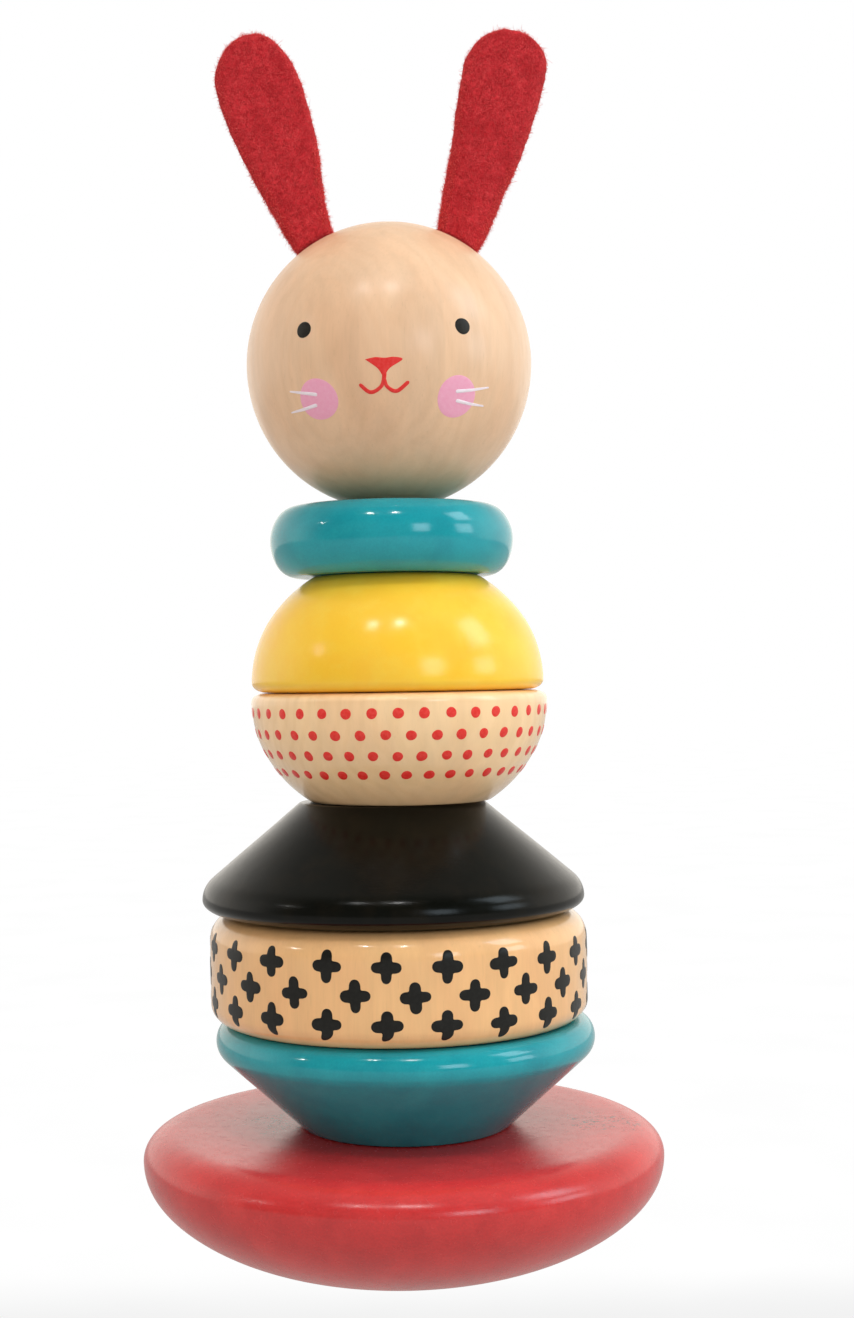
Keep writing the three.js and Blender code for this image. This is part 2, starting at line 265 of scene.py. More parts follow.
def softened(profile, looped, blur=0.28, longest=1.7, sharpest=7.0):
    """The profile with its corners rubbed round. It is sampled every 0.05 mm, each sample becomes the
    mean of its neighbours within blur, and the points kept lie at most longest apart and at most
    sharpest degrees of turn apart."""
    fine = 0.05
    line, along = measured(np.vstack([profile, profile[:1]]) if looped else profile)
    samples = np.linspace(0, along[-1], int(along[-1] / fine) + 1)
    dense = np.stack([np.interp(samples, along, line[:, axis]) for axis in (0, 1)], -1)
    reach = int(2 * blur / fine)
    weight = np.exp(-0.5 * (np.arange(-reach, reach + 1) / (blur / fine)) ** 2)
    weight /= weight.sum()
    if looped:
        dense = dense[:-1]
        padded = np.vstack([dense[-reach:], dense, dense[:reach]])
    else:
        before = 2 * dense[0] - dense[reach:0:-1]
        after = 2 * dense[-1] - dense[-2 : -reach - 2 : -1]
        padded = np.vstack([before, dense, after])
    dense = np.stack([np.convolve(padded[:, axis], weight, "valid") for axis in (0, 1)], -1)
    step = np.diff(dense, axis=0)
    heading = np.unwrap(np.arctan2(step[:, 1], step[:, 0]))
    turning = np.abs(np.diff(heading, append=heading[-1:]))
    cost = np.hypot(*step.T) / longest + np.degrees(turning) / sharpest
    spent = np.concatenate([[0.0], np.cumsum(cost)])
    kept = np.linspace(0, spent[-1], int(spent[-1]) + 2)
    if looped:
        kept = kept[:-1]
    return np.stack([np.interp(kept, spent, dense[:, axis]) for axis in (0, 1)], -1)


# ---- Turned pieces ----


def around(count):
    """Angles evenly spaced round a circle, from 0."""
    return np.arange(count) * 2 * math.pi / count


def circles(radius, height, steps):
    """Rings of points (radius times cosine, radius times sine, height)."""
    radius, angle = radius[:, None], around(steps)
    axes = np.broadcast_arrays(radius * np.cos(angle), radius * np.sin(angle), height[:, None])
    return np.stack(axes, -1)


def hand_turned(points, height):
    """Moves points a few hundredths of a millimetre in or out, by sines of their angle and height,
    as a piece smoothed by hand on a lathe is never quite true."""
    angle = np.arctan2(points[..., 1], points[..., 0])
    level = points[..., 2] / height
    swell = 0.03 * np.sin(3 * angle + 5 * level) + 0.02 * np.sin(5 * angle - 8 * level + 1)
    swell = swell + 0.025 * np.sin(14 * level + 2 * np.sin(angle))
    moved = points.copy()
    moved[..., 0] += swell * np.cos(angle)
    moved[..., 1] += swell * np.sin(angle)
    return moved


class Seat:
    """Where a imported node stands: the middle of its box across, and its lowest height."""

    def __init__(self, node):
        low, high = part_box(node)
        self.height = (high.z - low.z) / MM
        self.place = np.array([(low.x + high.x) / 2 / MM, (low.y + high.y) / 2 / MM, low.z / MM])


def turned_piece(name, node, body, wall, rest, outer, bare, steps=TURN_STEPS):
    """Carries a profile round the node's upright axis: (radius, height) goes to (radius times cosine,
    radius times sine, height). wall is the finished outside and rest the way back through the bore or
    socket, which is left bare. A profile that starts or ends on the axis is closed there by a pole."""
    seat = Seat(node)
    profile = np.vstack(wall + rest)
    on_axis = profile[:, 0] < 1e-6
    looped = not on_axis.any()
    line = softened(profile, looped)
    start = end = None
    if not looped:
        start = np.array([0, 0, line[0, 1]]) + seat.place
        end = np.array([0, 0, line[-1, 1]]) + seat.place
        line = line[1:-1]
    rings = circles(line[:, 0], line[:, 1], steps)
    points, faces = shell(hand_turned(rings, seat.height) + seat.place, start, end)
    middles = points[np.array([face[:3] for face in faces])].mean(axis=1) - seat.place
    inside = np.hypot(middles[:, 0], middles[:, 1]) < BORE_RADIUS + 0.6 * BORE_EASE
    piece = add_piece(name, points, faces, [outer, bare], inside & bare_zone(node, middles))
    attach(piece, body)
    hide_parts(node)
    return piece


def bare_zone(node, middles):
    """True where a face lies in a bore or socket: everywhere near the axis, but only up to the blind
    end of the head's bore, and only above the bottom of the base's socket."""
    level = middles[:, 2]
    if node == "head_ball":
        return (level > 0.1) & (level < HEAD["depth"] + 1)
    if node == "rocker_base":
        return level > BASE["height"] - BASE_SOCKET - 1
    return np.full(len(middles), True)


# ---- Material nodes ----


def shade(code):
    """A colour written as six hexadecimal digits, as linear red, green, blue and alpha."""
    values = [int(code[i : i + 2], 16) / 255 for i in (0, 2, 4)]
    linear = [v / 12.92 if v <= 0.04045 else ((v + 0.055) / 1.055) ** 2.4 for v in values]
    return (*linear, 1.0)


class Recipe:
    """A material's or world's node tree. Most methods add nodes and return the last one's output socket."""

    def __init__(self, owner):
        self.owner = owner
        owner.use_nodes = True
        self.tree = owner.node_tree
        self.tree.nodes.clear()

    def add(self, kind, inputs=(), output=0, **settings):
        node = self.tree.nodes.new("ShaderNode" + kind)
        for key, value in settings.items():
            setattr(node, key, value)
        for key, value in dict(inputs).items():
            if isinstance(value, bpy.types.NodeSocket):
                self.tree.links.new(value, node.inputs[key])
            else:
                node.inputs[key].default_value = value
        return node.outputs[output]

    def place(self, stretch=(1, 1, 1), shift=(0, 0, 0)):
        """Object coordinates, stretched along each axis and then moved by shift in metres."""
        where = self.add("TexCoord", output="Object")
        return self.add("Mapping", {"Vector": where, "Location": shift, "Scale": stretch})

    def noise(self, where, size, detail=3.0, rough=0.5, twist=0.0):
        """Soft noise whose patches are about size millimetres across, from 0 to 1."""
        inputs = {"Vector": where, "Scale": 1 / (size * MM), "Detail": detail, "Roughness": rough}
        return self.add("TexNoise", {**inputs, "Distortion": twist}, noise_dimensions="3D")

    def specks(self, where, size, share, edge):
        """1 inside round specks, else 0: about size millimetres apart, and edge times that wide. Only
        this share of them is there."""
        inputs = {"Vector": where, "Scale": 1 / (size * MM)}
        cell = self.add("TexVoronoi", inputs, "Distance")
        red = self.add("SeparateColor", {"Color": self.add("TexVoronoi", inputs, "Color")}, "Red")
        chosen = self.spread(red, 1 - share - 0.01, 1 - share + 0.01, 0, 1)
        dot = self.spread(cell, edge * 0.5, edge, 1, 0)
        return self.calc("MULTIPLY", chosen, dot)

    def spread(self, value, low, high, to_low=0.0, to_high=1.0, smooth=False):
        """value moved from the range low to high on to to_low to to_high, and kept inside it."""
        kind = "SMOOTHSTEP" if smooth else "LINEAR"
        inputs = {"Value": value, "From Min": low, "From Max": high, "To Min": to_low, "To Max": to_high}
        return self.add("MapRange", inputs, interpolation_type=kind)

    def calc(self, operation, first, second=0.0):
        return self.add("Math", {0: first, 1: second}, operation=operation)

    def apart(self, where, spot):
        """The distance in metres of where from a spot."""
        return self.add("VectorMath", {0: where, 1: spot}, "Value", operation="DISTANCE")

    def blend(self, share, first, second, kind="MIX"):
        """first at share 0 and second at share 1, as colours."""
        inputs = {0: share, 6: first, 7: second}
        return self.add("Mix", inputs, 2, data_type="RGBA", blend_type=kind)

    def times(self, colour, grey):
        """The colour with its red, green and blue all multiplied by grey."""
        even = self.add("CombineColor", {"Red": grey, "Green": grey, "Blue": grey})
        return self.blend(1.0, colour, even, "MULTIPLY")

    def dents(self, height, depth, normal=None):
        """A bump whose height of 1 stands depth millimetres proud."""
        inputs = {"Height": height, "Distance": depth * MM, "Strength": 1.0}
        if normal is not None:
            inputs["Normal"] = normal
        return self.add("Bump", inputs)

    def surface(self, **inputs):
        """Ends the tree with a Principled surface; underscores in a name stand for its spaces."""
        named = {key.replace("_", " "): value for key, value in inputs.items()}
        return self.end("Material", self.add("BsdfPrincipled", named))

    def end(self, kind, shader):
        """Joins the shader to the output and returns the finished material or world."""
        node = self.tree.nodes.new("ShaderNodeOutput" + kind)
        self.tree.links.new(shader, node.inputs["Surface"])
        return self.owner


def lacquer_paint(name, light, dark, tint, gloss, shine, speckle, scuffs=None, knocks=()):
    """Hand-dipped paint on turned wood: slow drifts of colour, orange peel, dust nibs and a fine
    speckle, and a patch of short dark scuffs round each of the knocks, which are places in metres."""
    mix = Recipe(bpy.data.materials.new(name))
    where = mix.place()
    drift = mix.spread(mix.noise(where, 11, 4, 0.55, 0.4), 0.35, 0.68)
    colour = mix.blend(drift, shade(light), shade(dark))
    cloud = mix.spread(mix.noise(mix.place(shift=(0.03, 0.01, 0)), 5, 5, 0.6), 0.48, 0.75, 0, 0.5)
    colour = mix.blend(cloud, colour, shade(tint))
    fine_grain = mix.noise(where, 0.4, 2)
    grain = mix.spread(fine_grain, 0.3, 0.7, 1 - speckle, 1 + speckle)
    colour = mix.times(colour, grain)
    nibs = mix.specks(where, 3.4, 0.07, 0.07)
    for knock in knocks:
        marks = mix.noise(mix.place((1, 1.5, 1)), 1.3, 2, 0.6, 1.5)
        fray = mix.spread(mix.noise(where, 7, 2), 0.3, 0.7, -5 * MM, 5 * MM)
        ragged = mix.calc("ADD", mix.apart(where, knock), fray)
        near = mix.spread(ragged, 4 * MM, 13 * MM, 0.22, 0, smooth=True)
        worn = mix.spread(mix.calc("ADD", marks, near), 0.785, 0.815)
        colour = mix.blend(worn, colour, shade(scuffs))
    peel = mix.noise(where, 2.2, 2, 0.45)
    ripple = mix.noise(where, 7.0, 1, 0.4)
    normal = mix.dents(ripple, 0.05)
    normal = mix.dents(peel, 0.008, normal)
    normal = mix.dents(fine_grain, 0.09 * speckle, normal)
    normal = mix.dents(nibs, 0.02, normal)
    rough = mix.spread(mix.noise(where, 1.4, 4, 0.6), 0.3, 0.75, gloss * 0.85, gloss * 1.25)
    return mix.surface(Base_Color=colour, Roughness=rough, Normal=normal, Specular_IOR_Level=shine)


RING_SPACING = 3.4  # between two growth rings


def maple(name, light, dark, warm, gloss, heart=(60, 95), figure=0.45, coat=1.0, fine=0.5):
    """Pale lacquered wood cut from one block: growth rings round a heart that lies off to one side,
    stretched along the grain, with warm clouds, broad bands, fine pores and short streaks."""
    mix = Recipe(bpy.data.materials.new(name))
    along_grain = mix.place((1, 1, 0.09), (0.004, 0, 0))
    wander = mix.noise(mix.place((1, 1, 0.35)), 16, 2, 0.5)
    shift = mix.spread(wander, 0.2, 0.8, -6 * MM, 6 * MM)
    flat = mix.place((1, 1, 0), (heart[0] * MM, heart[1] * MM, 0))
    upright = mix.add("SeparateXYZ", {"Vector": mix.place()}, "Z")
    leaning = mix.calc("MULTIPLY", upright, 0.22)
    radius = mix.calc("ADD", mix.calc("ADD", mix.apart(flat, (0, 0, 0)), shift), leaning)
    rings = mix.calc("SINE", mix.calc("MULTIPLY", radius, 2 * math.pi / (RING_SPACING * MM)))
    ring_share = mix.spread(rings, -0.4, 1.0, 0, figure, smooth=True)
    colour = mix.blend(ring_share, shade(light), shade(dark))
    clouds = mix.noise(mix.place((1, 1, 0.5), (0.02, 0.05, 0.01)), 13, 3, 0.5, 0.6)
    clouds = mix.calc("MULTIPLY", mix.spread(clouds, 0.42, 0.72), 0.6)
    colour = mix.blend(clouds, colour, shade(warm))
    streaks = mix.noise(along_grain, 0.55, 3, 0.6)
    streaks = mix.spread(streaks, 0.35, 0.7, 1 + 0.06 * fine, 1 - 0.1 * fine)
    pores = mix.noise(mix.place((1, 1, 0.05), (0, 0.01, 0)), 0.28, 1)
    pores = mix.spread(pores, 0.66, 0.74, 1, 1 - 0.25 * fine)
    bands = mix.noise(mix.place((1, 1, 0.22), (0.03, 0.02, 0)), 5.5, 2, 0.55, 0.4)
    bands = mix.spread(bands, 0.35, 0.65, 0.95, 1.04)
    grey = mix.calc("MULTIPLY", mix.calc("MULTIPLY", streaks, pores), bands)
    colour = mix.times(colour, grey)
    normal = mix.dents(mix.noise(mix.place(), 6.0, 1, 0.4), 0.035)
    normal = mix.dents(mix.noise(along_grain, 0.5, 2), 0.006, normal)
    rough = mix.spread(mix.noise(mix.place(), 2.0, 4, 0.6), 0.3, 0.75, 0.42, 0.6)
    return mix.surface(
        Base_Color=colour,
        Roughness=rough,
        Normal=normal,
        Coat_Weight=coat,
        Coat_Roughness=gloss,
        Coat_Normal=normal,
        Specular_IOR_Level=0.25,
    )


def printed_ink(name, colour, edge, gloss):
    """Ink stamped under the lacquer: a little uneven in strength, with pinholes of thinner colour."""
    mix = Recipe(bpy.data.materials.new(name))
    where = mix.place()
    patchy = mix.spread(mix.noise(where, 0.7, 4, 0.65), 0.4, 0.75)
    mixed = mix.blend(patchy, shade(colour), shade(edge))
    normal = mix.dents(mix.noise(where, 1.1, 2), 0.006)
    rough = mix.spread(patchy, 0, 1, gloss, gloss * 1.5)
    return mix.surface(Base_Color=mixed, Roughness=rough, Normal=normal, Specular_IOR_Level=0.3)


def pressed_felt(name, light, middle, dark):
    """Wool felt: matted fibres in light and dark tufts, with dark pits between them, and painted contact
    shade darkening its foot where it goes into the head. The pattern is tied to the felt, so it bends with
    it."""
    mix = Recipe(bpy.data.materials.new(name))
    place = mix.add("Attribute", output="Vector", attribute_name="felt_place")
    past_head = mix.add("Attribute", output="Fac", attribute_name="past_head")
    slanted = mix.add("Mapping", {"Vector": place, "Location": (0.01, 0, 0.02), "Scale": (1.5, 1, 0.8)})
    tufts = mix.noise(place, 1.3, 5, 0.75, 1.0)
    mats = mix.noise(slanted, 0.55, 4, 0.75, 1.6)
    pits = mix.noise(place, 0.75, 3, 0.8)
    broad = mix.noise(place, 6.5, 3, 0.6)
    colour = mix.blend(mix.spread(tufts, 0.38, 0.62), shade(dark), shade(middle))
    colour = mix.blend(mix.spread(mats, 0.48, 0.66, 0, 0.75), colour, shade(light))
    colour = mix.blend(mix.spread(pits, 0.56, 0.7, 0, 0.7), colour, shade(dark))
    colour = mix.blend(mix.spread(broad, 0.45, 0.7, 0, 0.5), colour, shade(dark))
    # Painted contact shade: the felt is darkened towards where it enters the head, by its distance past the
    # head's surface.
    foot = mix.spread(mix.calc("ADD", past_head, tufts), 0.6, 1.9, 0.3, 1.0, smooth=True)
    colour = mix.times(colour, foot)
    normal = mix.dents(tufts, 0.35)
    normal = mix.dents(mats, 0.25, normal)
    return mix.surface(
        Base_Color=colour,
        Roughness=0.96,
        Normal=normal,
        Specular_IOR_Level=0.1,
        Sheen_Weight=0.35,
        Sheen_Roughness=0.5,
        Sheen_Tint=shade("F0807A"),
    )


def loose_wool(name, dark, light):
    """Single fibres, each with its own strength of dye from a value on its points, which also makes the
    fringe fibres lighter as a painted glow of light through them.
    """
    mix = Recipe(bpy.data.materials.new(name))
    tone = mix.add("Attribute", output="Fac", attribute_name="fibre_dye_and_glow")
    colour = mix.blend(tone, shade(dark), shade(light))
    return mix.surface(Base_Color=colour, Roughness=0.9, Specular_IOR_Level=0.15)


# ---- Prints and painted features, each a thin skin lying on a turned wall ----


class Wall:
    """The outside of a turned piece, as a line that is measured from its lowest point."""

    def __init__(self, node, wall):
        self.seat = Seat(node)
        self.line, self.along = measured(np.vstack(wall))
        self.tangent = np.gradient(self.line, self.along, axis=0)

    def height_to_along(self, height):
        return float(np.interp(height, self.line[:, 1], self.along))

    def radius(self, along):
        return np.interp(along, self.along, self.line[:, 0])

    def place(self, angle, along, x, y, lift):
        """The point x millimetres to the right and y up from (angle, along), lift above the wall."""
        up = along + y
        radius = self.radius(up)
        height = np.interp(up, self.along, self.line[:, 1])
        slope = unit(np.stack([np.interp(up, self.along, self.tangent[:, i]) for i in (0, 1)], -1))
        turn = math.radians(angle) + x / radius
        out = radius + lift * slope[..., 1]
        level = height - lift * slope[..., 0]
        points = np.stack([out * np.sin(turn), -out * np.cos(turn), level], -1)
        return hand_turned(points, self.seat.height) + self.seat.place


SINK = 0.25  # how far each print's underside goes into the wood


def patch(wall, angle, along, outline, shares, lift=0.05, crown=0.0):
    """A flat shape laid on a wall: rings at shares of its outline, anticlockwise from the front, over
    the same outline sunk into the wood. crown raises the middle, as a drop of thick paint does."""
    shares = np.array(shares[::-1])
    heights = lift + crown * (1 - shares**2)
    heights[0] = lift * 0.3
    flat = shares[:, None, None] * outline
    layers = zip([flat[0], *flat], [-SINK, *heights])
    rows = [wall.place(angle, along, *layer.T, height) for layer, height in layers]
    under, over = (wall.place(angle, along, *np.zeros((2, 1)), level) for level in (-SINK, lift + crown))
    return shell(np.stack(rows), under, over)


def stroke(wall, path, widths, lift, steps=40):
    """A brush stroke along a path of (angle, height) points on a wall: a smooth curve through them,
    half a width to each side, with round ends where the width falls as the root of the distance."""
    knots = np.linspace(0, 1, len(path))
    share = (1 - np.cos(np.linspace(0, math.pi, steps))) / 2
    ups = [wall.height_to_along(height) for _, height in path]
    turn = smooth_curve(knots, [math.radians(angle) for angle, _ in path], share)
    up = smooth_curve(knots, ups, share)
    radius = wall.radius(up)
    centre = np.stack([turn * radius, up], -1)
    direction = unit(np.gradient(centre, axis=0))
    length = np.hypot(*np.diff(centre, axis=0).T).sum()
    half = smooth_curve(np.linspace(0, 1, len(widths)), widths, share) / 2
    for end, distance in ((half[0], share * length), (half[-1], (1 - share) * length)):
        half = half * np.sqrt(1 - np.clip(1 - distance / max(end, 0.15), 0, 1) ** 2)
    across = np.stack([direction[:, 1], -direction[:, 0]], -1)
    low = lift * 0.3
    section = ((-1, -SINK), (-1, low), (-0.85, lift), (0, lift), (0.85, lift), (1, low), (1, -SINK))
    loops = []
    for side, height in section:
        spot = centre + across * (side * half)[:, None]
        stretch = wall.radius(spot[:, 1]) / radius
        loops.append(wall.place(0, 0, spot[:, 0] * stretch, spot[:, 1], height))
    rings = np.stack(loops, 1)[1:-1]
    start, end = (wall.place(0, 0, spot[:1], spot[1:], low) for spot in (centre[0], centre[-1]))
    return shell(rings, start, end)


def smooth_curve(knots, values, where):
    """A cubic through (knots, values), whose slope at a knot is that between its neighbours."""
    knots, values = np.asarray(knots, float), np.asarray(values, float)
    slopes = np.gradient(values, knots)
    cell = np.clip(np.searchsorted(knots, where, "right") - 1, 0, len(knots) - 2)
    width = knots[cell + 1] - knots[cell]
    t = (where - knots[cell]) / width
    first, last = values[cell], values[cell + 1]
    lead, trail = slopes[cell] * width, slopes[cell + 1] * width
    return (
        first * (2 * t**3 - 3 * t**2 + 1)
        + last * (3 * t**2 - 2 * t**3)
        + lead * (t**3 - 2 * t**2 + t)
        + trail * (t**3 - t**2)
    )


def blot(radius, spokes, draw, uneven):
    """A nearly round outline: the radius varies by two slow sines of the angle."""
    angle = around(spokes)
    phase = draw.uniform(0, 2 * math.pi, 2)
    swell = np.sin(2 * angle + phase[0]) + 0.6 * np.sin(3 * angle + phase[1])
    reach = radius * (1 + uneven * swell)
    return np.stack([reach * np.cos(angle), reach * np.sin(angle)], -1)


def cross_outline(reach, half, draw, hook, spokes=64):
    """A stamped plus. Towards an arm at angle d from it, the outline is half over the sine of d along
    the arm's side, and the arm's round end beyond that; its corners are then smoothed over. hook bends
    the lower arm aside, by the power 1.5 of the distance down it."""
    angle = around(spokes)
    arm = np.round(angle / (math.pi / 2)).astype(int) % 4
    away = np.abs(angle - np.round(angle / (math.pi / 2)) * math.pi / 2)
    arms = reach * draw.uniform(0.93, 1.06, 4)
    halves = half * draw.uniform(0.9, 1.1, 4)
    length, width = arms[arm], halves[arm]
    middle = length - width
    off = middle * np.sin(away)
    ended = middle * np.cos(away) + np.sqrt(np.clip(width**2 - off**2, 0, None))
    side = width / np.maximum(np.sin(away), 1e-6)
    outline = np.where((off < width) & (ended < side), ended, np.minimum(side, length))
    padded = np.concatenate([outline[-2:], outline, outline[:2]])
    outline = np.convolve(padded, np.array([1, 2, 3, 2, 1]) / 9, "valid")
    points = np.stack([outline * np.cos(angle), outline * np.sin(angle)], -1)
    depth = np.clip(-points[:, 1] - 1.4, 0, None)
    points[:, 0] += hook * depth**1.5
    tilt = math.radians(draw.uniform(-3, 3))
    turn = np.array([[math.cos(tilt), math.sin(tilt)], [-math.sin(tilt), math.cos(tilt)]])
    return points @ turn


def add_print(name, shells, material, body):
    points, faces = gathered(shells)
    piece = add_piece(name, points, faces, [material], crease=50.0)
    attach(piece, body)


# ---- Felt ears ----


def ear_turn(along, ear):
    """How far the ear has turned inwards, in radians: none at the head, easing into first_turn at
    the bending line, and then the rest spread evenly to the tip."""
    eased = np.clip((along + EAR_BEND_HEIGHT) / (EAR_BEND_HEIGHT + 2.0), 0, 1)
    eased = eased**2 * (3 - 2 * eased)
    spread = np.clip(along, 0, None) / ear["length"]
    return np.radians(ear["first_turn"] * eased + EAR_MORE_TURN * spread)


def ear_middle(along, ear):
    """The middle line, (across, out), as the running sum of (sine, cosine) of the turn."""
    fine = np.linspace(-EAR_BURIED - EAR_BEND_HEIGHT, ear["length"], 2000)
    turn = ear_turn(fine, ear)
    step = fine[1] - fine[0]
    across, out = (
        np.concatenate([[0], np.cumsum((part[1:] + part[:-1]) / 2)]) * step
        for part in (np.sin(turn), np.cos(turn))
    )
    rest = np.interp(0, fine, across), np.interp(0, fine, out)
    return np.interp(along, fine, across) - rest[0], np.interp(along, fine, out) - rest[1]


def ear_edge(along, ear, edge):
    """How far the inner or outer edge lies from the middle line: a smooth curve, closed at the tip as
    an ellipse, times the root of 1 - share squared."""
    reach = smooth_curve((*EAR_STATIONS, ear["length"]), ear[edge], along)
    tip = ear[edge + "_tip"]
    share = np.clip((along - (ear["length"] - tip)) / tip, 0, 1)
    return reach * np.sqrt(1 - share**2)


def felt_section(half, thick, flat_steps=26, edge_steps=9):
    """Loops of (across, through) for arrays of half width and half thickness: two flat sides joined
    by half rounds, which narrow to half an ellipse where the ear is narrower than it is thick."""
    edge = np.minimum(half, thick)
    swing = np.linspace(-math.pi / 2, math.pi / 2, edge_steps)
    run = np.linspace(-1, 1, flat_steps + 2)[1:-1]
    flat = (half - edge)[:, None]
    right = np.stack([flat + edge[:, None] * np.cos(swing), thick[:, None] * np.sin(swing)], -1)
    back = np.stack([-flat * run, thick[:, None] * np.ones_like(run)], -1)
    return np.concatenate([right, back, -right, -back], axis=1)


def ear_surface(ear, side, hinge, seat_angle, cup, lift, draw):
    """The felt as rings (rings, points, 3) from deep in the head to the tip. Each ring is a section
    carried to the middle line, moved aside so that its edges are the inner and outer one, and turned
    with it. Its edges fall back by cup times the square of the share of the half width, and less past the
    widest ring, where the square of the width closes the cup. Lumps of a few tenths of a millimetre
    move both faces, and lift curls the tip forwards."""
    bottom = -EAR_BURIED - EAR_BEND_HEIGHT
    straight = ear["length"] - EAR_TIP
    body = np.linspace(bottom, straight, 62)
    cap = straight + EAR_TIP * np.sin(np.linspace(0, math.pi / 2, 22))[1:-1]
    along = np.concatenate([body, cap])
    inner, outer = ear_edge(along, ear, "inner"), ear_edge(along, ear, "outer")
    half = (inner + outer) / 2
    aside = (side * (outer - inner) / 2)[:, None]
    to_tip = ear["length"] - along
    thick = EAR_THICKNESS / 2 * np.sqrt(1 - np.clip(1 - to_tip / 1.6, 0, 1) ** 2)
    section = felt_section(half, thick)
    across, through = section[..., 0], section[..., 1]
    share = across / np.maximum(half[:, None], 0.5)
    clear = np.clip((along + EAR_BEND_HEIGHT) / 9, 0, 1)[:, None]
    phases = draw.uniform(0, 2 * math.pi, 8)
    s = along[:, None]
    ragged = 0.05 * np.sin(s * 1.15 + phases[0])
    ragged = ragged + 0.04 * np.sin(s * 3.1 + 3 * np.sign(across) + phases[1])
    across = across + aside + clear * ragged * share**3
    lumps = 0.13 * np.sin(0.55 * s + 0.5 * across + phases[2]) * np.sin(0.8 * across - 0.2 * s + phases[3])
    lumps = lumps + 0.08 * np.sin(1.3 * s - 0.9 * across + phases[4]) * np.sin(1.1 * across + phases[5])
    past_widest = np.arange(len(half)) > np.argmax(half)
    closing = np.where(past_widest, (half / half.max()) ** 2, 1)[:, None]
    bow = cup[0] * np.clip(share, 0, None) ** 2 + cup[1] * np.clip(-share, 0, None) ** 2
    curl = -lift * (np.clip(s, 0, None) / ear["length"]) ** 2
    through = through + clear * lumps + clear * closing * bow + curl
    turn = -side * ear_turn(along, ear)[:, None]
    middle_across, middle_out = ear_middle(along, ear)
    local_x = -side * middle_across[:, None] + across * np.cos(turn)
    local_z = middle_out[:, None] - across * np.sin(turn)
    axis_x = np.array([math.cos(seat_angle), 0, -side * math.sin(seat_angle)])
    axis_z = np.array([side * math.sin(seat_angle), 0, math.cos(seat_angle)])
    y = np.array([0, 1, 0])
    points = local_x[..., None] * axis_x + through[..., None] * y + local_z[..., None] * axis_z
    return along, hinge + points


def fibres(rings, along, count, draw, edges):
    """Loose wool on the felt: each fibre is a tapering three-sided tube of three rings and two poles
    along a short curve that leaves the surface, or lies along it when edges is False."""
    columns = rings.shape[1]
    usable = np.flatnonzero(along > -EAR_BEND_HEIGHT - 0.3)
    row = draw.choice(usable[:-2], count)
    if edges:
        near_root = draw.random(count) < 0.45
        low_rows = usable[along[usable] < 16]
        row = np.where(near_root, draw.choice(low_rows, count), row)
        starts = draw.choice([0, columns // 2], count)
        column = (starts + draw.integers(0, 9, count)) % columns
    else:
        column = draw.integers(0, columns, count)
    fraction = draw.random((count, 2, 1))
    next_column = (column + 1) % columns
    p00, p01 = rings[row, column], rings[row, next_column]
    p10, p11 = rings[row + 1, column], rings[row + 1, next_column]
    low = p00 + (p01 - p00) * fraction[:, 0]
    high = p10 + (p11 - p10) * fraction[:, 0]
    root = low + (high - low) * fraction[:, 1]
    normal = unit(np.cross(p01 - p00, p10 - p00))
    stray = unit(draw.normal(size=(count, 3)))
    lying = unit(stray - (stray * normal).sum(1, keepdims=True) * normal)
    if edges:
        length = draw.gamma(3.0, 0.1, count)[:, None] + 0.12
        leave = normal + 0.7 * lying
        curl = 0.5 * draw.normal(size=(count, 3))
    else:
        length = draw.uniform(0.5, 1.8, count)[:, None]
        leave = 0.28 * normal + lying
        curl = 0.55 * draw.normal(size=(count, 3)) - 0.45 * normal
    leave = unit(leave)
    share = np.array([0.0, 0.3, 0.62, 0.86, 1.0])[:, None, None]
    spine = root + length * (share * leave + share**2 * curl * 0.6) - 0.06 * normal
    first = unit(np.cross(leave, stray))
    second = np.cross(leave, first)
    thin = draw.uniform(0.02, 0.042, count)[:, None]
    loops = []
    for station, taper in ((1, 1.0), (2, 0.85), (3, 0.6)):
        for swing in around(3):
            corner = first * math.cos(swing) + second * math.sin(swing)
            loops.append(spine[station] + taper * thin * corner)
    points = np.stack([*loops, spine[0], spine[4]], 1)
    here, following = np.array([0, 1, 2]), np.array([1, 2, 0])
    walls = [[r + here, r + following, r + 3 + following, r + 3 + here] for r in (0, 3)]
    quads = np.concatenate([np.stack(wall, -1) for wall in walls])
    fans = np.concatenate([
        np.stack([np.full(3, 9), following, here], -1),
        np.stack([6 + here, 6 + following, np.full(3, 10)], -1),
    ])
    first_point = (np.arange(count) * 11)[:, None, None]
    faces = (first_point + quads).reshape(-1, 4).tolist() + (first_point + fans).reshape(-1, 3).tolist()
    # Random dye for every fibre; the fringe fibres reach up to the light colour as a painted backlit glow,
    # while those lying on the felt stay near the dark one.
    tone = np.repeat(draw.beta(1.5, 2.4, count) * (1.0 if edges else 0.3), 11)
    return points.reshape(-1, 3), faces, tone


